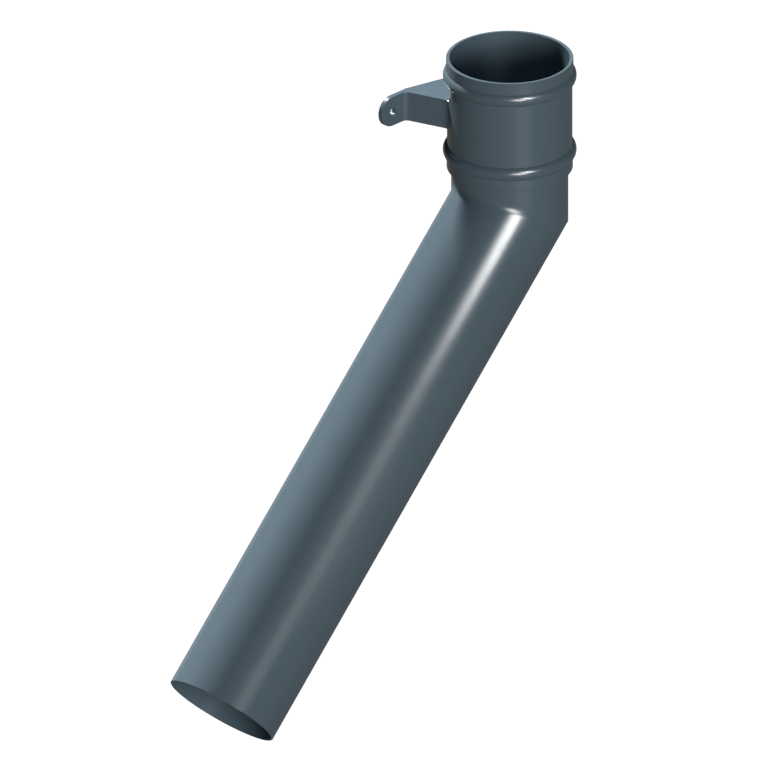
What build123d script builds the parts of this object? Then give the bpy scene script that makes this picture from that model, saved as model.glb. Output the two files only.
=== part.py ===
from build123d import *
import math
import os

# Downpipe elbow: a long spigot tail leaves a vertical eared socket at 45 degrees.
# All sizes are in millimetres. The origin is the centre of the socket mouth, in the plane of its rim.
# +Z points up out of the socket, the wall lies towards +Y, and the tail runs down towards -X.

# Tube that the neck and the tail are cut from
PIPE_OD = 102.0
PIPE_WALL = 2.0

# Route of the tube
BEND_ANGLE = 45.0
MITRE_DEPTH = 142.0
TAIL_LENGTH = 513.0
CUT_EDGE_CHAMFER = 0.4

# Socket of the collar casting, from the mouth down
SOCKET_CLEARANCE = 1.4
SOCKET_DEPTH = 80.0
RIM_WALL = 3.1
SOCKET_WALL = 2.2
RIM_CHAMFER = 0.4

# Seat that holds the upper end of the neck tube
BOND_GAP = 0.15
BAND_BOTTOM = 103.9
BAND_PROUD = 0.4
BAND_CHAMFER = 0.5

# Half-round beads
BEAD_RADIUS = 7.0
BEAD_PROUD = 3.65
UPPER_BEAD_DEPTH = 16.5
LOWER_BEAD_DEPTH = 87.4
BEAD_ROOT_CHAMFER = 0.9

# Wall ears
WALL_GAP = 23.8
EAR_DEPTH = 49.9
EAR_HEIGHT = 27.8
TAB_THICKNESS = 4.5
SHOULDER = 2.9
TAB_REACH = 15.7
HOLE_DIAMETER = 6.6
WEB_ANGLE = 17.7
RELIEF_ANGLE = 14.1
RELIEF_INSET = 4.5
RELIEF_FILLET = 25.0
TAB_BEND_FILLET = 5.0
FRONT_EDGE_CHAMFER = 0.7

# Sizes that follow from the driving ones
PIPE_R = PIPE_OD / 2
BORE_R = PIPE_R - PIPE_WALL
SOCKET_R = PIPE_R + SOCKET_CLEARANCE
SEAT_R = PIPE_R + BOND_GAP
RIM_R = SOCKET_R + RIM_WALL
BODY_R = SOCKET_R + SOCKET_WALL
BAND_R = BODY_R + BAND_PROUD
BEAD_CENTRE_R = BODY_R + BEAD_PROUD - BEAD_RADIUS
WALL_Y = PIPE_R + WALL_GAP
TAB_FRONT_Y = WALL_Y - TAB_THICKNESS
WEB_CORNER_X = BODY_R + SHOULDER
HOLE_X = WEB_CORNER_X + TAB_REACH
TAB_END_X = HOLE_X + EAR_HEIGHT / 2
RELIEF_X = WEB_CORNER_X - RELIEF_INSET
RELIEF_Y = WALL_Y - RELIEF_X * math.tan(math.radians(RELIEF_ANGLE))
WEB_INNER_X = WEB_CORNER_X - TAB_FRONT_Y * math.tan(math.radians(WEB_ANGLE))

# Points closer than this are one corner
SAME_PLACE = 1e-6


def bead_meets(radius):
    """Half the height of a bead where its arc meets a wall of the given radius."""
    return math.sqrt(BEAD_RADIUS**2 - (radius - BEAD_CENTRE_R) ** 2)


def bead_arc(depth, radius_above, radius_below):
    """Arc of one bead, from the wall above it, over its crown, to the wall below it."""
    return ThreePointArc(
        (radius_above, -depth + bead_meets(radius_above)),
        (BEAD_CENTRE_R + BEAD_RADIUS, -depth),
        (radius_below, -depth - bead_meets(radius_below)),
    )


def collar_barrel():
    """Outside of the socket: rim, upper bead, plain wall, lower bead and band, turned about Z."""
    upper = bead_arc(UPPER_BEAD_DEPTH, RIM_R, BODY_R)
    lower = bead_arc(LOWER_BEAD_DEPTH, BODY_R, BAND_R)
    outline = [
        Line((0, 0), (RIM_R, 0)),
        Line((RIM_R, 0), upper @ 0),
        upper,
        Line(upper @ 1, lower @ 0),
        lower,
        Line(lower @ 1, (BAND_R, -BAND_BOTTOM)),
        Line((BAND_R, -BAND_BOTTOM), (0, -BAND_BOTTOM)),
        Line((0, -BAND_BOTTOM), (0, 0)),
    ]
    profile = make_face(outline)
    meets = (upper @ 0, upper @ 1, lower @ 0, lower @ 1)
    roots = [
        corner
        for corner in profile.vertices()
        if any((Vector(corner) - meet).length < SAME_PLACE for meet in meets)
    ]
    profile = chamfer(roots, BEAD_ROOT_CHAMFER)
    return revolve(Plane.XZ * profile, Axis.Z)


def ear_plan():
    """Both ears and the web that joins them to the barrel, seen from above."""
    half = [
        (0, RELIEF_Y),
        (RELIEF_X, WALL_Y),
        (TAB_END_X, WALL_Y),
        (TAB_END_X, TAB_FRONT_Y),
        (WEB_CORNER_X, TAB_FRONT_Y),
        (WEB_INNER_X, 0),
    ]
    mirrored = [(-x, y) for x, y in reversed(half[1:])]
    plan = make_face(Polyline(*half, *mirrored, close=True))
    plan = fillet(corners_at(plan, WEB_CORNER_X, TAB_FRONT_Y), TAB_BEND_FILLET)
    return fillet(corners_at(plan, 0, RELIEF_Y), RELIEF_FILLET)


def corners_at(face, x, y):
    """Corners of a flat outline at one place and at its mirror image in the YZ plane."""
    return [
        corner
        for corner in face.vertices()
        if abs(abs(corner.X) - x) < SAME_PLACE and abs(corner.Y - y) < SAME_PLACE
    ]


def ears():
    """The ears as one block: the plan drawn up to the ear's height, with both ends rounded."""
    block = extrude(Plane.XY.offset(-EAR_DEPTH) * ear_plan(), EAR_HEIGHT / 2, both=True)
    front = Plane.XZ * Location((0, -EAR_DEPTH)) * SlotOverall(2 * TAB_END_X, EAR_HEIGHT)
    block = block & extrude(front, -WALL_Y)
    return chamfer(front_rim(block), FRONT_EDGE_CHAMFER)


def front_rim(block):
    """Edges of the ear block round the front of both tabs and along both webs."""
    mid_tab = (TAB_FRONT_Y + WALL_Y) / 2
    return [
        edge
        for edge in block.edges()
        if edge.bounding_box().max.Y < mid_tab
        and edge.bounding_box().size.X > FRONT_EDGE_CHAMFER
        and abs(edge.center().X) > WEB_INNER_X
    ]


def ear_holes():
    """One plain fixing hole through each tab, square to the wall."""
    hole = Plane.XZ * Location((HOLE_X, -EAR_DEPTH)) * Circle(HOLE_DIAMETER / 2)
    drill = extrude(hole, -(WALL_Y + TAB_THICKNESS))
    return [drill, mirror(drill, about=Plane.YZ)]


def eared_collar():
    """The casting: barrel and ears in one, bored for the incoming pipe and for the neck tube."""
    casting = collar_barrel() + ears()
    casting = casting - Pos(0, 0, -SOCKET_DEPTH / 2) * Cylinder(SOCKET_R, SOCKET_DEPTH)
    casting = casting - Pos(0, 0, -BAND_BOTTOM / 2) * Cylinder(SEAT_R, BAND_BOTTOM)
    rim = casting.faces().sort_by(Axis.Z)[-1]
    casting = chamfer(rim.edges(), RIM_CHAMFER)
    band_end = casting.faces().sort_by(Axis.Z)[0]
    casting = chamfer(band_end.outer_wire().edges(), BAND_CHAMFER)
    return casting - ear_holes()


def mitre_plane():
    """The cut that both tubes share: it halves the bend."""
    tilt = math.radians(BEND_ANGLE / 2)
    return Plane(origin=(0, 0, -MITRE_DEPTH), z_dir=(math.sin(tilt), 0, math.cos(tilt)))


def tube(length):
    """A square-cut length of the tube that stands on the XY plane."""
    return extrude(Circle(PIPE_R) - Circle(BORE_R), length)


def neck_tube():
    """Short tube from the socket's floor down to the mitre."""
    spare = PIPE_OD
    length = MITRE_DEPTH - SOCKET_DEPTH + spare
    blank = Pos(0, 0, -MITRE_DEPTH - spare) * tube(length)
    return split(blank, mitre_plane(), keep=Keep.TOP)


def tail_tube():
    """Long tube from the mitre down to the square-cut foot."""
    slope = Plane(origin=(0, 0, -MITRE_DEPTH)) * Rot(0, BEND_ANGLE, 0)
    spare = PIPE_OD
    blank = slope * Pos(0, 0, -TAIL_LENGTH) * tube(TAIL_LENGTH + spare)
    tail = split(blank, mitre_plane(), keep=Keep.BOTTOM)
    foot = tail.faces().filter_by(GeomType.PLANE).sort_by(Axis.Z)[0]
    return chamfer(foot.edges(), CUT_EDGE_CHAMFER)


def main():
    os.makedirs("parts", exist_ok=True)
    pieces = {
        "eared_collar": eared_collar(),
        "neck_tube": neck_tube(),
        "tail_tube": tail_tube(),
    }
    for name, piece in pieces.items():
        export_step(piece, f"parts/{name}.step")


main()
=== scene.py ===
"""Dresses the downpipe elbow: powder-coated casting and tubes in a plain, pale studio."""

import logging
import math
from dataclasses import dataclass, field
from enum import Enum

import bmesh
import bpy
from mathutils import Matrix, Vector

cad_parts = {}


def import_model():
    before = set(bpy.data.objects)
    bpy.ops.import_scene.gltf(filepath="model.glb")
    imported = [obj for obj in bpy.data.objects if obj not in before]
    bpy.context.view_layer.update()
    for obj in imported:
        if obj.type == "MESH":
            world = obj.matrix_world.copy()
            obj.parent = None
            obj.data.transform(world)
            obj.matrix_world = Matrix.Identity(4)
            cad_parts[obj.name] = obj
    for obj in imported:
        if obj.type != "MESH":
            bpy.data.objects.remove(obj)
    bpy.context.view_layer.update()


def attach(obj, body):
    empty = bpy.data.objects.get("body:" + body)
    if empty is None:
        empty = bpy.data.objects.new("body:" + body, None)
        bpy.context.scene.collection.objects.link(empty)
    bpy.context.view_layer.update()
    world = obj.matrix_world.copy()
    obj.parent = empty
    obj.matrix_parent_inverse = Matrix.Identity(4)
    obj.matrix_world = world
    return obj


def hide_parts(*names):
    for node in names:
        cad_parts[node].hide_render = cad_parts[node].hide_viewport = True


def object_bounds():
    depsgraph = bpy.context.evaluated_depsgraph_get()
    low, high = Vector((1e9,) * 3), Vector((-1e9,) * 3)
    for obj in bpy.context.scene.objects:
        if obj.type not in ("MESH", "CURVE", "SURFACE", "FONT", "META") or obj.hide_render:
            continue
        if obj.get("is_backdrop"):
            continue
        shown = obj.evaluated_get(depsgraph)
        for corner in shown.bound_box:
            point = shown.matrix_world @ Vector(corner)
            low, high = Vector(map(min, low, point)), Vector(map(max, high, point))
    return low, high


log = logging.getLogger("downpipe_elbow")

BODY = "root"
# Points that lie closer than this, in metres, are one point.
SAME_POINT = 1e-6
WHITE = (1.0, 1.0, 1.0, 1.0)

Colour = tuple[float, float, float]
Point = tuple[float, float, float] | Vector
Edges = list[bmesh.types.BMEdge]
Points = list[bmesh.types.BMVert]


class Substrate(Enum):
    """What lies under the powder coat: its name, how fine its surface is, and how deep."""

    CAST = ("cast", 300.0, 0.000020)
    DRAWN = ("drawn", 460.0, 0.000010)

    def __init__(self, label: str, fineness: float, depth: float) -> None:
        """Names the parts of the value.

        Args:
            label: The metal's name.
            fineness: Grains to a metre.
            depth: Height of the grain in metres.
        """
        self.label = label
        self.fineness = fineness
        self.depth = depth


@dataclass(frozen=True)
class PowderCoat:
    """Semi-gloss slate grey powder coat over aluminium.

    The colour drifts a little over the piece, the skin has the fine orange peel of a baked coat, and the
    gloss changes with it.
    """

    slot: str = "powder_coat"
    colour: Colour = (0.069, 0.100, 0.122)
    drift: float = 0.04
    drift_size: float = 0.09
    drift_detail: float = 3.0
    specular: float = 0.5
    roughness: float = 0.24
    roughness_drift: float = 0.03
    gloss_patch: float = 0.016
    gloss_detail: float = 2.0
    peel_strength: float = 0.35
    peel_detail: float = 2.0

    def material(self, substrate: Substrate) -> bpy.types.Material:
        """Makes the coat over one kind of metal.

        Args:
            substrate: What the coat lies on.

        Returns:
            The finished material.
        """
        material = bpy.data.materials.new(f"{self.slot}_{substrate.label}")
        material.use_nodes = True
        tree = material.node_tree
        shader = tree.nodes["Principled BSDF"]
        shader.inputs["Specular IOR Level"].default_value = self.specular
        place = tree.nodes.new("ShaderNodeTexCoord").outputs["Object"]
        self._colour(tree, shader, place)
        self._gloss(tree, shader, place)
        self._peel(tree, shader, place, substrate)
        return material

    def _colour(
        self, tree: bpy.types.NodeTree, shader: bpy.types.Node, place: bpy.types.NodeSocket
    ) -> None:
        """Lets the colour drift slowly over the whole piece.

        Args:
            tree: The material's nodes and links.
            shader: The surface that gets the colour.
            place: Where on the piece the pattern is read.
        """
        cloud = noise(tree, place, 1.0 / self.drift_size, self.drift_detail)
        mix = tree.nodes.new("ShaderNodeMix")
        mix.data_type = "RGBA"
        mix.inputs["A"].default_value = (*(c * (1.0 - self.drift) for c in self.colour), 1.0)
        mix.inputs["B"].default_value = (*(c * (1.0 + self.drift) for c in self.colour), 1.0)
        tree.links.new(cloud, mix.inputs["Factor"])
        tree.links.new(mix.outputs["Result"], shader.inputs["Base Color"])

    def _gloss(
        self, tree: bpy.types.NodeTree, shader: bpy.types.Node, place: bpy.types.NodeSocket
    ) -> None:
        """Changes the gloss a little from place to place.

        Args:
            tree: The material's nodes and links.
            shader: The surface that gets the gloss.
            place: Where on the piece the pattern is read.
        """
        cloud = noise(tree, place, 1.0 / self.gloss_patch, self.gloss_detail)
        span = tree.nodes.new("ShaderNodeMapRange")
        span.inputs["To Min"].default_value = self.roughness - self.roughness_drift
        span.inputs["To Max"].default_value = self.roughness + self.roughness_drift
        tree.links.new(cloud, span.inputs["Value"])
        tree.links.new(span.outputs["Result"], shader.inputs["Roughness"])

    def _peel(
        self, tree: bpy.types.NodeTree, shader: bpy.types.Node, place: bpy.types.NodeSocket,
        substrate: Substrate,
    ) -> None:
        """Gives the baked skin its orange peel over the metal's own grain, as a very low bump.

        Args:
            tree: The material's nodes and links.
            shader: The surface that gets the bump.
            place: Where on the piece the pattern is read.
            substrate: What the coat lies on.
        """
        cells = noise(tree, place, substrate.fineness, self.peel_detail)
        bump = tree.nodes.new("ShaderNodeBump")
        bump.inputs["Strength"].default_value = self.peel_strength
        bump.inputs["Distance"].default_value = substrate.depth
        tree.links.new(cells, bump.inputs["Height"])
        tree.links.new(bump.outputs["Normal"], shader.inputs["Normal"])


@dataclass(frozen=True)
class Backdrop:
    """Pale matt floor.

    The camera sees it nearly white, with the elbow's shadow on it, and so does a look through something
    clear. What it throws back at the elbow is duller, as from a floor that is farther off.
    """

    pale: Colour = (0.80, 0.80, 0.80)
    dull: Colour = (0.023, 0.023, 0.023)
    roughness: float = 0.9
    glow: float = 1.0
    share: float = 0.90

    def material(self) -> bpy.types.Material:
        """Makes the floor's surface, with a white mixed in where it is looked at.

        Returns:
            The finished material.
        """
        material = bpy.data.materials.new("pale_floor")
        material.use_nodes = True
        nodes = material.node_tree.nodes
        links = material.node_tree.links
        matt = nodes["Principled BSDF"]
        matt.inputs["Roughness"].default_value = self.roughness
        seen = looked_at(material.node_tree)
        tone = nodes.new("ShaderNodeMix")
        tone.data_type = "RGBA"
        tone.inputs["A"].default_value = (*self.dull, 1.0)
        tone.inputs["B"].default_value = (*self.pale, 1.0)
        white = nodes.new("ShaderNodeEmission")
        white.inputs["Strength"].default_value = self.glow
        part = nodes.new("ShaderNodeMath")
        part.operation = "MULTIPLY"
        part.inputs[1].default_value = self.share
        mix = nodes.new("ShaderNodeMixShader")
        links.new(seen, tone.inputs["Factor"])
        links.new(tone.outputs["Result"], matt.inputs["Base Color"])
        links.new(seen, part.inputs[0])
        links.new(part.outputs["Value"], mix.inputs["Fac"])
        links.new(matt.outputs["BSDF"], mix.inputs[1])
        links.new(white.outputs["Emission"], mix.inputs[2])
        links.new(mix.outputs["Shader"], nodes["Material Output"].inputs["Surface"])
        return material


def noise(
    tree: bpy.types.NodeTree, place: bpy.types.NodeSocket, scale: float, detail: float
) -> bpy.types.NodeSocket:
    """Adds a soft random pattern to a material.

    Args:
        tree: The material's nodes and links.
        place: Where on the piece the pattern is read.
        scale: Patches to a metre.
        detail: How much finer structure there is in the patches.

    Returns:
        The pattern's value.
    """
    cloud = tree.nodes.new("ShaderNodeTexNoise")
    cloud.inputs["Scale"].default_value = scale
    cloud.inputs["Detail"].default_value = detail
    tree.links.new(place, cloud.inputs["Vector"])
    return cloud.outputs["Fac"]


def looked_at(tree: bpy.types.NodeTree) -> bpy.types.NodeSocket:
    """Tells what the camera sees, also through something clear, from what only lights the elbow.

    Args:
        tree: The nodes and links of the floor's material or of the world.

    Returns:
        A value that is one where the camera looks, and otherwise nothing.
    """
    rays = tree.nodes.new("ShaderNodeLightPath")
    seen = tree.nodes.new("ShaderNodeMath")
    seen.operation = "MAXIMUM"
    tree.links.new(rays.outputs["Is Camera Ray"], seen.inputs[0])
    tree.links.new(rays.outputs["Is Transmission Ray"], seen.inputs[1])
    return seen.outputs["Value"]


class Outline:
    """A chain of points that is drawn step by step, with straight stretches and arcs."""

    def __init__(self, mesh: bmesh.types.BMesh, start: Point) -> None:
        """Starts the chain.

        Args:
            mesh: The mesh that the chain is drawn in.
            start: Its first point.
        """
        self.mesh = mesh
        self.tip = mesh.verts.new(start)

    def line(self, place: Point) -> "Outline":
        """Draws a straight stretch.

        Args:
            place: Where it ends.

        Returns:
            The outline, so that the next stretch can follow.
        """
        grown = bmesh.ops.extrude_vert_indiv(self.mesh, verts=[self.tip])
        self.tip = grown["verts"][0]
        self.tip.co = place
        return self

    def arc(self, centre: Point, axis: Point, turn: float, steps: int) -> "Outline":
        """Draws an arc.

        Args:
            centre: The point that it runs about.
            axis: The direction that it turns about.
            turn: How far it turns, in radians.
            steps: How many straight steps it has.

        Returns:
            The outline, so that the next stretch can follow.
        """
        grown = bmesh.ops.spin(
            self.mesh, geom=[self.tip], cent=centre, axis=axis, angle=turn, steps=steps, use_duplicate=False
        )
        self.tip = next(item for item in grown["geom_last"] if isinstance(item, bmesh.types.BMVert))
        return self


@dataclass
class EaredCollar:
    """The socket casting: a turned barrel with two beads, and the wall ears that grow from its back.

    All sizes are in metres. Depths are measured down from the mouth.
    """

    name: str = "collar_casting"
    node: str = "eared_collar"
    coat: PowderCoat = field(default_factory=PowderCoat)
    round_steps: int = 192
    bead_steps: int = 20
    bend_steps: int = 8
    relief_steps: int = 10
    tab_steps: int = 14
    edge_steps: int = 2
    hole_steps: int = 48
    crisp: float = math.radians(28.0)

    socket_radius: float = 0.0524
    seat_radius: float = 0.05115
    rim_radius: float = 0.0555
    body_radius: float = 0.0546
    band_radius: float = 0.0550
    socket_depth: float = 0.080
    band_depth: float = 0.1039
    rim_chamfer: float = 0.0004
    band_chamfer: float = 0.0005
    bead_radius: float = 0.0070
    bead_centre_radius: float = 0.05125
    bead_depths: tuple[float, float] = (0.0165, 0.0874)

    wall_distance: float = 0.0748
    ear_depth: float = 0.0499
    ear_height: float = 0.0278
    tab_thickness: float = 0.0045
    web_corner: float = 0.0575
    tab_reach: float = 0.0157
    hole_radius: float = 0.0033
    web_angle: float = math.radians(17.7)
    relief_angle: float = math.radians(14.1)
    relief_inset: float = 0.0045
    relief_fillet: float = 0.025
    tab_bend: float = 0.005
    web_root: float = 0.010
    front_chamfer: float = 0.0007

    # How much of half the tab's height its corners take, so that the two rounds don't meet.
    tab_round: float = 0.9999
    # An edge of the front turns by at least this much.
    front_turn: float = math.radians(60.0)
    # It lies farther out than this share of the barrel's radius.
    front_from: float = 0.8
    # Rounding leaves points this close together.
    round_merge: float = 2e-6
    # How many times as long a cutter is as what it cuts.
    cut_reach: float = 2.0

    def build(self) -> bpy.types.Object:
        """Models and dresses the casting.

        Returns:
            The finished piece.
        """
        casting = settle(self.name, self._barrel())
        ears = settle("ears", self._ears())
        combine(ears, settle("core", self._core()), "DIFFERENCE")
        combine(casting, ears, "UNION")
        combine(casting, settle("holes", self._holes()), "DIFFERENCE")
        finish_shape(casting, self.crisp)
        return take_over(casting, self.coat, Substrate.CAST, self.node)

    def _bead(self, outline: Outline, depth: float, above: float, below: float) -> None:
        """Draws one bead, from the wall above it, over its crown, to the wall below it.

        Args:
            outline: The barrel's section so far.
            depth: How deep the bead's crown lies.
            above: Radius of the wall above it.
            below: Radius of the wall below it.
        """
        top = math.acos((above - self.bead_centre_radius) / self.bead_radius)
        foot = math.acos((below - self.bead_centre_radius) / self.bead_radius)
        outline.line((above, 0.0, -depth + self.bead_radius * math.sin(top)))
        outline.arc((self.bead_centre_radius, 0.0, -depth), (0.0, 1.0, 0.0), top + foot, self.bead_steps)

    def _barrel(self) -> bmesh.types.BMesh:
        """Draws the barrel's wall as a section and turns it about Z.

        Returns:
            The barrel.
        """
        mesh = bmesh.new()
        rim, band = self.rim_chamfer, self.band_chamfer
        outline = Outline(mesh, (self.socket_radius + rim, 0.0, 0.0))
        outline.line((self.rim_radius - rim, 0.0, 0.0)).line((self.rim_radius, 0.0, -rim))
        upper, lower = self.bead_depths
        self._bead(outline, upper, self.rim_radius, self.body_radius)
        self._bead(outline, lower, self.body_radius, self.band_radius)
        outline.line((self.band_radius, 0.0, band - self.band_depth))
        outline.line((self.band_radius - band, 0.0, -self.band_depth))
        outline.line((self.seat_radius, 0.0, -self.band_depth))
        outline.line((self.seat_radius, 0.0, -self.socket_depth))
        outline.line((self.socket_radius, 0.0, -self.socket_depth))
        outline.line((self.socket_radius, 0.0, -rim)).line((self.socket_radius + rim, 0.0, 0.0))
        turn_round(mesh, self.round_steps)
        return mesh

    def _core(self) -> bmesh.types.BMesh:
        """Makes the round core that clears the ear block out of the barrel, halfway through its wall.

        Returns:
            The core.
        """
        radius = (self.socket_radius + self.body_radius) / 2
        place = Matrix.Translation((0.0, 0.0, -self.ear_depth))
        mesh = bmesh.new()
        add_rod(mesh, radius, self.cut_reach * self.ear_height, self.round_steps, place)
        return mesh

    def _holes(self) -> bmesh.types.BMesh:
        """Makes the rods that cut the two fixing holes, square to the wall and centred on it.

        Returns:
            Both rods.
        """
        mesh = bmesh.new()
        reach = self.web_corner + self.tab_reach
        length = 2 * self.cut_reach * self.tab_thickness
        for side in (-1.0, 1.0):
            place = Matrix.Translation((side * reach, self.wall_distance, -self.ear_depth))
            along = place @ Matrix.Rotation(math.pi / 2, 4, "X")
            add_rod(mesh, self.hole_radius, length, self.hole_steps, along)
        return mesh

    def _ears(self) -> bmesh.types.BMesh:
        """Draws both ears and the webs behind the barrel in plan, and raises them to the ear's height.

        Returns:
            The ears, with their rounds.
        """
        mesh = bmesh.new()
        end = self.web_corner + self.tab_reach + self.ear_height / 2
        self._plan(mesh, end)
        bmesh.ops.mirror(mesh, geom=mesh.verts[:] + mesh.edges[:], axis="X", merge_dist=SAME_POINT)
        bmesh.ops.remove_doubles(mesh, verts=mesh.verts[:], dist=SAME_POINT)
        plan = bmesh.ops.contextual_create(mesh, geom=mesh.edges[:])["faces"]
        raised = bmesh.ops.extrude_face_region(mesh, geom=plan)["geom"]
        lifted = [item for item in raised if isinstance(item, bmesh.types.BMVert)]
        bmesh.ops.translate(mesh, verts=lifted, vec=(0.0, 0.0, self.ear_height))
        bmesh.ops.recalc_face_normals(mesh, faces=mesh.faces[:])

        relief_offset = self.relief_fillet * math.tan(self.relief_angle)
        self._round(mesh, self._relief_edge(mesh), relief_offset, self.relief_steps)
        tab_offset = self.ear_height / 2 * self.tab_round
        self._round(mesh, self._tab_corners(mesh, end), tab_offset, self.tab_steps)
        self._round(mesh, self._front_edges(mesh), self.front_chamfer, self.edge_steps)
        return mesh

    def _plan(self, mesh: bmesh.types.BMesh, end: float) -> None:
        """Draws the plan of one ear, from the relief behind the barrel round to the barrel's middle.

        Args:
            mesh: The mesh that it is drawn in.
            end: How far out the ear's tab ends.
        """
        level = -self.ear_depth - self.ear_height / 2
        wall = self.wall_distance
        front = wall - self.tab_thickness
        inner = self.web_corner - front * math.tan(self.web_angle)
        relief = self.web_corner - self.relief_inset
        along = Vector((math.sin(self.web_angle), math.cos(self.web_angle), 0.0))
        out = Vector((along.y, -along.x, 0.0))
        start = Vector((inner, 0.0, level))

        bend_centre = self._bend_centre(start, along, out, front - self.tab_bend)
        root_centre = self._root_centre(start, along, out)
        to_barrel = math.atan2(-root_centre.y, -root_centre.x) % math.tau
        to_web = math.atan2(-out.y, -out.x) % math.tau

        outline = Outline(mesh, (0.0, wall - relief * math.tan(self.relief_angle), level))
        outline.line((relief, wall, level)).line((end, wall, level)).line((end, front, level))
        outline.line((bend_centre.x, front, level))
        outline.arc(bend_centre, (0.0, 0.0, 1.0), math.pi / 2 - self.web_angle, self.bend_steps)
        outline.line(root_centre - out * self.web_root)
        outline.arc(root_centre, (0.0, 0.0, 1.0), to_barrel - to_web, self.bend_steps)
        outline.line((inner / 2, 0.0, level)).line((0.0, 0.0, level))

    def _bend_centre(self, start: Vector, along: Vector, out: Vector, y: float) -> Vector:
        """Finds the centre of the arc that bends the web into its tab.

        Args:
            start: A point on the web's front face.
            along: Unit direction of the web, away from the barrel.
            out: Unit direction out of the web's front face.
            y: The centre's distance towards the wall.

        Returns:
            The centre.
        """
        base = start + out * self.tab_bend
        return base + along * ((y - base.y) / along.y)

    def _root_centre(self, start: Vector, along: Vector, out: Vector) -> Vector:
        """Finds the centre of the arc that leads the web's front face into the barrel.

        Args:
            start: A point on the web's front face.
            along: Unit direction of the web, away from the barrel.
            out: Unit direction out of the web's front face.

        Returns:
            The centre.
        """
        base = start + out * self.web_root
        flat = Vector((base.x, base.y, 0.0))
        reach = self.body_radius + self.web_root
        half = flat.dot(along)
        return base + along * (math.sqrt(half * half - flat.length_squared + reach * reach) - half)

    def _round(self, mesh: bmesh.types.BMesh, edges: Edges, offset: float, steps: int) -> None:
        """Rounds a set of edges.

        Args:
            mesh: The mesh that they are in.
            edges: The edges.
            offset: How far from each edge its round begins.
            steps: How many faces the round has.
        """
        bmesh.ops.bevel(
            mesh, geom=edges, offset=offset, offset_type="OFFSET", affect="EDGES",
            segments=steps, profile=0.5, material=-1, clamp_overlap=False,
        )
        bmesh.ops.remove_doubles(mesh, verts=mesh.verts[:], dist=self.round_merge)

    def _relief_edge(self, mesh: bmesh.types.BMesh) -> Edges:
        """Finds the upright edge at the bottom of the relief behind the barrel.

        Args:
            mesh: The raised ears.

        Returns:
            The edge, in a list.
        """
        return [
            edge for edge in mesh.edges
            if all(abs(v.co.x) < SAME_POINT and v.co.y > self.body_radius for v in edge.verts)
            and abs(edge.verts[0].co.z - edge.verts[1].co.z) > self.ear_height / 2
        ]

    def _tab_corners(self, mesh: bmesh.types.BMesh, end: float) -> Edges:
        """Finds the edges that run through the tabs at their outer corners.

        Args:
            mesh: The raised ears.
            end: How far out the tabs end.

        Returns:
            The four edges.
        """
        return [
            edge for edge in mesh.edges
            if all(abs(abs(v.co.x) - end) < SAME_POINT for v in edge.verts)
            and abs(edge.verts[0].co.y - edge.verts[1].co.y) > self.tab_thickness / 2
        ]

    def _front_edges(self, mesh: bmesh.types.BMesh) -> Edges:
        """Finds the edges round the front of both tabs and along the top and bottom of both webs.

        Args:
            mesh: The raised ears, with their other rounds.

        Returns:
            The edges.
        """
        front = self.wall_distance - self.tab_thickness + SAME_POINT
        inside = self.body_radius * self.front_from
        return [
            edge for edge in mesh.edges
            if all(v.co.y < front and abs(v.co.x) > inside for v in edge.verts)
            and edge.calc_face_angle(0.0) > self.front_turn
        ]


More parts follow.
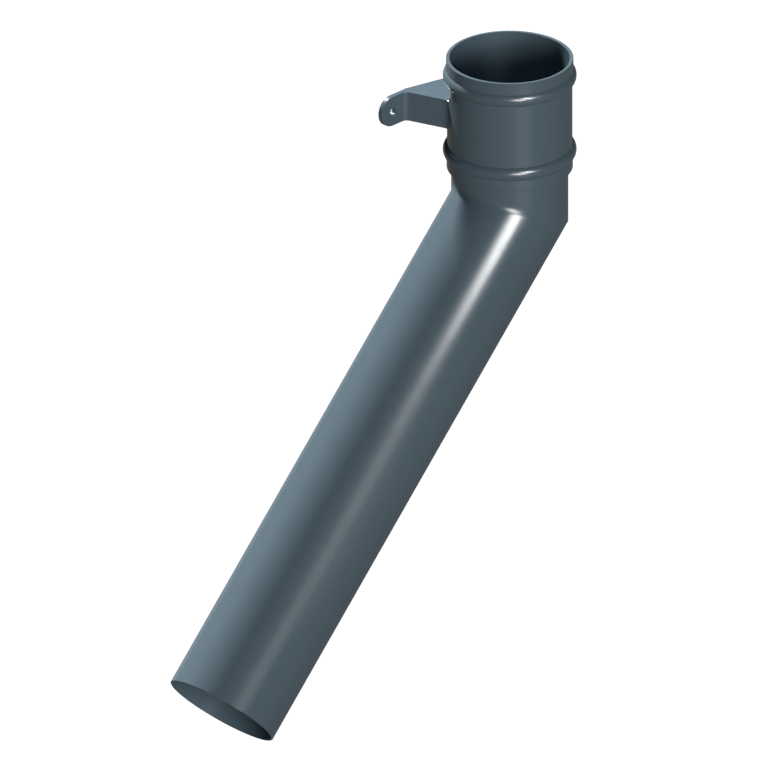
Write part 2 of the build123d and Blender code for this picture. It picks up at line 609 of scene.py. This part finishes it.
@dataclass
class ElbowTube:
    """Neck and tail: two lengths of thin tube, welded on the mitre, with the weld dressed flush.

    The coat hides the weld, so the two tubes are one skin, and its shading runs softly over the crease.
    All sizes are in metres. Depths are measured down from the socket's mouth.
    """

    name: str = "elbow_tube"
    nodes: tuple[str, str] = ("neck_tube", "tail_tube")
    coat: PowderCoat = field(default_factory=PowderCoat)
    round_steps: int = 192
    crisp: float = math.radians(46.0)

    outer_radius: float = 0.0510
    wall: float = 0.0020
    neck_top: float = 0.080
    soft_reach: float = 0.009
    mitre_depth: float = 0.142
    bend: float = math.radians(45.0)
    tail_length: float = 0.513
    cut_chamfer: float = 0.0004

    # An edge of the cut foot turns by at least this much.
    cut_turn: float = math.radians(80.0)

    def build(self) -> bpy.types.Object:
        """Models and dresses the two tubes as the one skin that the coat makes of them.

        Returns:
            The finished piece.
        """
        mesh = self._skin()
        bmesh.ops.bevel(
            mesh, geom=self._cut_edges(mesh), offset=self.cut_chamfer, offset_type="OFFSET",
            affect="EDGES", segments=1, profile=0.5, material=-1,
        )
        tube = settle(self.name, mesh)
        finish_shape(tube, self.crisp)
        return take_over(tube, self.coat, Substrate.DRAWN, *self.nodes)

    @property
    def down(self) -> Vector:
        """Unit direction of the tail, towards its foot."""
        return Vector((-math.sin(self.bend), 0.0, -math.cos(self.bend)))

    @property
    def mitre(self) -> Vector:
        """The point where the axes of the two tubes meet."""
        return Vector((0.0, 0.0, -self.mitre_depth))

    @property
    def foot(self) -> Vector:
        """The centre of the cut foot."""
        return self.mitre + self.down * self.tail_length

    def _skin(self) -> bmesh.types.BMesh:
        """Grows the skin ring by ring, down the outside to the foot and up the bore again.

        Returns:
            The closed skin, with sharp edges at the foot.
        """
        mesh = bmesh.new()
        down, mitre, foot = self.down, self.mitre, self.foot
        half = self.bend / 2
        across = Vector((-math.sin(half), 0.0, -math.cos(half)))
        bore = 1.0 - self.wall / self.outer_radius
        ring = bmesh.ops.create_circle(
            mesh, radius=self.outer_radius, segments=self.round_steps, cap_ends=False
        )["verts"]
        bmesh.ops.translate(mesh, verts=ring, vec=(0.0, 0.0, -self.neck_top))

        # Down the outside: to the soft strip above the mitre, to the mitre and to the foot.
        edges, ring = self._grow(mesh, mesh.edges[:])
        for v in ring:
            v.co.z = self.soft_reach - self.mitre_depth - v.co.x * math.tan(half)
        edges, ring = self._grow(mesh, edges)
        bmesh.ops.translate(mesh, verts=ring, vec=(0.0, 0.0, -self.soft_reach))
        edges, ring = self._grow(mesh, edges)
        for v in ring:
            v.co += down * (foot - v.co).dot(down)

        # Across the cut foot, and up the bore by the same steps.
        edges, ring = self._grow(mesh, edges)
        bmesh.ops.scale(mesh, verts=ring, vec=(bore, bore, bore), space=Matrix.Translation(-foot))
        edges, ring = self._grow(mesh, edges)
        for v in ring:
            v.co -= down * ((v.co - mitre).dot(across) / down.dot(across))
        edges, ring = self._grow(mesh, edges)
        bmesh.ops.translate(mesh, verts=ring, vec=(0.0, 0.0, self.soft_reach))
        edges, ring = self._grow(mesh, edges)
        for v in ring:
            v.co.z = -self.neck_top

        # Out over the top, onto the first ring.
        _, ring = self._grow(mesh, edges)
        bmesh.ops.scale(mesh, verts=ring, vec=(1.0 / bore, 1.0 / bore, 1.0))
        bmesh.ops.remove_doubles(mesh, verts=mesh.verts[:], dist=SAME_POINT)
        bmesh.ops.recalc_face_normals(mesh, faces=mesh.faces[:])
        return mesh

    def _cut_edges(self, mesh: bmesh.types.BMesh) -> Edges:
        """Finds the edges of the two rims of the cut foot.

        Args:
            mesh: The skin.

        Returns:
            The edges.
        """
        down, foot = self.down, self.foot
        return [
            edge for edge in mesh.edges
            if all(abs((v.co - foot).dot(down)) < SAME_POINT for v in edge.verts)
            and edge.calc_face_angle(0.0) > self.cut_turn
        ]

    def _grow(self, mesh: bmesh.types.BMesh, edges: Edges) -> tuple[Edges, Points]:
        """Extrudes a ring in place.

        Args:
            mesh: The skin so far.
            edges: The edges of its last ring.

        Returns:
            The edges and the points of the new ring, which still lies on the old one.
        """
        grown = bmesh.ops.extrude_edge_only(mesh, edges=edges)["geom"]
        points = [item for item in grown if isinstance(item, bmesh.types.BMVert)]
        return [item for item in grown if isinstance(item, bmesh.types.BMEdge)], points


def turn_round(mesh: bmesh.types.BMesh, steps: int) -> None:
    """Turns a section about Z into a closed ring.

    Args:
        mesh: The mesh, with nothing but the section in it.
        steps: How many steps the full turn has.
    """
    bmesh.ops.spin(
        mesh, geom=mesh.verts[:] + mesh.edges[:], cent=(0.0, 0.0, 0.0), axis=(0.0, 0.0, 1.0),
        angle=math.tau, steps=steps, use_merge=True, use_duplicate=False,
    )
    bmesh.ops.remove_doubles(mesh, verts=mesh.verts[:], dist=SAME_POINT)
    bmesh.ops.recalc_face_normals(mesh, faces=mesh.faces[:])


def add_rod(mesh: bmesh.types.BMesh, radius: float, length: float, steps: int, place: Matrix) -> None:
    """Adds a closed rod along its own Z, centred on its place.

    Args:
        mesh: The mesh that it is added to.
        radius: Its radius.
        length: Its length.
        steps: How many sides it has.
        place: Where its middle lies and how it is turned.
    """
    bmesh.ops.create_cone(
        mesh, cap_ends=True, segments=steps, radius1=radius, radius2=radius, depth=length, matrix=place
    )


def settle(name: str, mesh: bmesh.types.BMesh) -> bpy.types.Object:
    """Puts a finished bmesh into the scene as an object at the origin.

    Args:
        name: The object's name.
        mesh: The shape, which is freed.

    Returns:
        The object.
    """
    data = bpy.data.meshes.new(name)
    mesh.to_mesh(data)
    mesh.free()
    shape = bpy.data.objects.new(name, data)
    bpy.context.scene.collection.objects.link(shape)
    return shape


def combine(base: bpy.types.Object, tool: bpy.types.Object, operation: str) -> None:
    """Joins or cuts one closed shape with another, and takes the other away.

    Args:
        base: The shape that changes.
        tool: The shape that is joined to it or cut from it.
        operation: UNION or DIFFERENCE.
    """
    step = base.modifiers.new(operation.lower(), "BOOLEAN")
    step.object = tool
    step.operation = operation
    step.solver = "EXACT"
    bpy.context.view_layer.update()
    depsgraph = bpy.context.evaluated_depsgraph_get()
    made = bpy.data.meshes.new_from_object(base.evaluated_get(depsgraph))
    base.modifiers.clear()
    old = base.data
    base.data = made
    bpy.data.meshes.remove(old)
    bpy.data.objects.remove(tool)


def finish_shape(piece: bpy.types.Object, crisp: float) -> None:
    """Merges doubles and shades the piece smooth, with every sharper edge left crisp.

    Args:
        piece: The piece.
        crisp: The turn, in radians, from which an edge is crisp.
    """
    mesh = bmesh.new()
    mesh.from_mesh(piece.data)
    bmesh.ops.remove_doubles(mesh, verts=mesh.verts[:], dist=SAME_POINT)
    for face in mesh.faces:
        face.smooth = True
    for edge in mesh.edges:
        edge.smooth = edge.calc_face_angle(0.0) < crisp
    mesh.to_mesh(piece.data)
    mesh.free()
    weights = piece.modifiers.new("weights", "WEIGHTED_NORMAL")
    weights.mode = "FACE_AREA"
    weights.keep_sharp = True


def take_over(
    piece: bpy.types.Object, coat: PowderCoat, substrate: Substrate, *nodes: str
) -> bpy.types.Object:
    """Dresses a piece and lets it stand for its nodes.

    Args:
        piece: The finished shape.
        coat: The finish that it gets.
        substrate: What the coat lies on.
        nodes: The nodes that it stands for.

    Returns:
        The piece.
    """
    piece.data.materials.clear()
    piece.data.materials.append(coat.material(substrate))
    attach(piece, BODY)
    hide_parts(*nodes)
    log.info("%s: %d faces, %s", piece.name, len(piece.data.polygons), substrate.label)
    return piece


class Reach(Enum):
    """Which part of a finish a light reaches: its body colour, its gloss, or both."""

    ALL = (True, True)
    COLOUR = (True, False)
    GLOSS = (False, True)


@dataclass
class FarLight:
    """A soft light so far off that it looks the same from every place on the elbow.

    The level is how bright a white sheet turned towards it would look, where 1 is white. The spread is
    how wide the light looks, in degrees.
    """

    name: str
    towards: Point
    level: float
    spread: float
    reach: Reach = Reach.ALL

    def place(self) -> bpy.types.Object:
        """Puts the light in the scene.

        Returns:
            The light's object.
        """
        data = bpy.data.lights.new(self.name, "SUN")
        data.energy = self.level * math.pi
        data.angle = math.radians(self.spread)
        out = Vector(self.towards).normalized()
        return hang(self.name, data, out, target=(0.0, 0.0, 0.0), distance=1.0, roll=0.0, reach=self.reach)


@dataclass
class SoftBox:
    """An oval soft box that looks at a point from close by.

    Its level is its own brightness, where 1 is white. Its roll is in degrees.
    """

    name: str
    towards: Point
    target: Point
    distance: float
    size: tuple[float, float]
    level: float
    roll: float = 0.0
    reach: Reach = Reach.ALL

    def place(self) -> bpy.types.Object:
        """Puts the light in the scene.

        Returns:
            The light's object.
        """
        data = bpy.data.lights.new(self.name, "AREA")
        data.shape = "ELLIPSE"
        data.size, data.size_y = self.size
        area = math.pi / 4 * self.size[0] * self.size[1]
        data.energy = self.level * math.pi * area
        out = Vector(self.towards).normalized()
        return hang(self.name, data, out, self.target, self.distance, math.radians(self.roll), self.reach)


def hang(
    name: str, data: bpy.types.Light, out: Vector, target: Point, distance: float, roll: float,
    reach: Reach,
) -> bpy.types.Object:
    """Hangs a lamp so that it looks back at its target.

    Args:
        name: The lamp's name.
        data: The lamp itself.
        out: Unit direction from the target to the lamp.
        target: The point that the lamp looks at.
        distance: How far the lamp is from its target.
        roll: How far the lamp is turned about its own line of sight, in radians.
        reach: Which part of a finish it reaches.

    Returns:
        The lamp's object.
    """
    lamp = bpy.data.objects.new(name, data)
    turn = out.to_track_quat("Z", "Y").to_matrix().to_4x4() @ Matrix.Rotation(roll, 4, "Z")
    lamp.matrix_world = Matrix.Translation(Vector(target) + out * distance) @ turn
    lamp.visible_camera = False
    lamp.visible_diffuse, lamp.visible_glossy = reach.value
    bpy.context.scene.collection.objects.link(lamp)
    return lamp


@dataclass
class Studio:
    """Floor, lights and world around the elbow."""

    drop: float = 0.25
    floor_size: float = 12.0
    floor: Backdrop = field(default_factory=Backdrop)
    ambient: float = 0.01
    lights: tuple[FarLight | SoftBox, ...] = (
        # From above, on the wall's side: it lights the tail's far edge and casts the shadows.
        FarLight("wall_side", towards=(0.150, 0.724, 0.673), level=3.55, spread=8.0),
        # The broad light on the front, and what the key adds to the body colour.
        FarLight("front", towards=(-0.490, -0.861, 0.132), level=0.845, spread=24.0),
        FarLight("key_spill", towards=(-0.218, -0.967, 0.130), level=0.10, spread=6.0, reach=Reach.COLOUR),
        # The faint streak down the tail.
        FarLight("window", towards=(-0.110, -0.920, 0.373), level=0.045, spread=24.0, reach=Reach.GLOSS),
        # Keeps the side that the picture doesn't show from going black.
        FarLight("far_side", towards=(0.850, 0.250, 0.300), level=0.35, spread=30.0, reach=Reach.COLOUR),
        # The bright streak below the crease and on both beads.
        SoftBox(
            "key", towards=(-0.212, -0.871, 0.443), target=(-0.035, -0.04, -0.11), distance=0.8,
            size=(0.34, 0.125), level=50.0, roll=-60.0, reach=Reach.GLOSS,
        ),
        # The faint upright streak on the collar and the neck.
        SoftBox(
            "low_card", towards=(-0.330, -0.845, -0.4226), target=(-0.03, -0.045, -0.07), distance=0.5,
            size=(0.26, 0.34), level=0.5, reach=Reach.GLOSS,
        ),
    )

    def build(self) -> None:
        """Lays the floor under the elbow and sets the lights and the world."""
        lowest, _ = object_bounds()
        mesh = bmesh.new()
        bmesh.ops.create_grid(mesh, x_segments=1, y_segments=1, size=self.floor_size / 2)
        bmesh.ops.translate(mesh, verts=mesh.verts[:], vec=(0.0, 0.0, lowest[2] - self.drop))
        floor = settle("floor", mesh)
        floor.data.materials.append(self.floor.material())
        floor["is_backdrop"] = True
        for light in self.lights:
            light.place()
        self._world()

    def _world(self) -> None:
        """Makes the surroundings even and dim, and plain white to the camera."""
        world = bpy.data.worlds.new("surroundings")
        bpy.context.scene.world = world
        world.use_nodes = True
        nodes = world.node_tree.nodes
        links = world.node_tree.links
        dim = nodes["Background"]
        dim.inputs["Color"].default_value = WHITE
        dim.inputs["Strength"].default_value = self.ambient
        white = nodes.new("ShaderNodeBackground")
        white.inputs["Color"].default_value = WHITE
        white.inputs["Strength"].default_value = 1.0
        mix = nodes.new("ShaderNodeMixShader")
        links.new(looked_at(world.node_tree), mix.inputs["Fac"])
        links.new(dim.outputs["Background"], mix.inputs[1])
        links.new(white.outputs["Background"], mix.inputs[2])
        links.new(mix.outputs["Shader"], nodes["World Output"].inputs["Surface"])


@dataclass(frozen=True)
class PhotoCamera:
    """Parallel camera at the photograph's angle and scale.

    The picture's side and the place of the socket's mouth in it are in pixels, and a pixel is in metres.
    """

    azimuth: float = math.radians(-46.3)
    elevation: float = math.radians(25.0)
    picture: float = 768.0
    pixel: float = 0.0008696
    origin_at: tuple[float, float] = (509.7, 57.3)
    distance: float = 3.0

    def place(self) -> None:
        """Creates the camera, so that the socket's mouth falls on its place in the photograph."""
        right = Vector((math.cos(self.azimuth), math.sin(self.azimuth), 0.0))
        level = Vector((math.sin(self.azimuth), -math.cos(self.azimuth), 0.0))
        back = level * math.cos(self.elevation) + Vector((0.0, 0.0, math.sin(self.elevation)))
        up = back.cross(right)
        middle = self.picture / 2
        across, upward = middle - self.origin_at[0], self.origin_at[1] - middle
        aim = right * across * self.pixel + up * upward * self.pixel
        data = bpy.data.cameras.new("photo")
        data.type = "ORTHO"
        data.ortho_scale = self.picture * self.pixel
        camera = bpy.data.objects.new("photo", data)
        turn = Matrix((right, up, back)).transposed().to_4x4()
        camera.matrix_world = Matrix.Translation(aim + back * self.distance) @ turn
        bpy.context.scene.collection.objects.link(camera)
        bpy.context.scene.camera = camera


def main() -> None:
    """Builds the studio and dresses the elbow, piece by piece."""
    logging.basicConfig(level=logging.INFO, format="%(name)s: %(message)s")
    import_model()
    PhotoCamera().place()
    Studio().build()
    EaredCollar().build()
    ElbowTube().build()
    bpy.context.scene.view_settings.view_transform = "Standard"


if __name__ == "__main__":
    main()
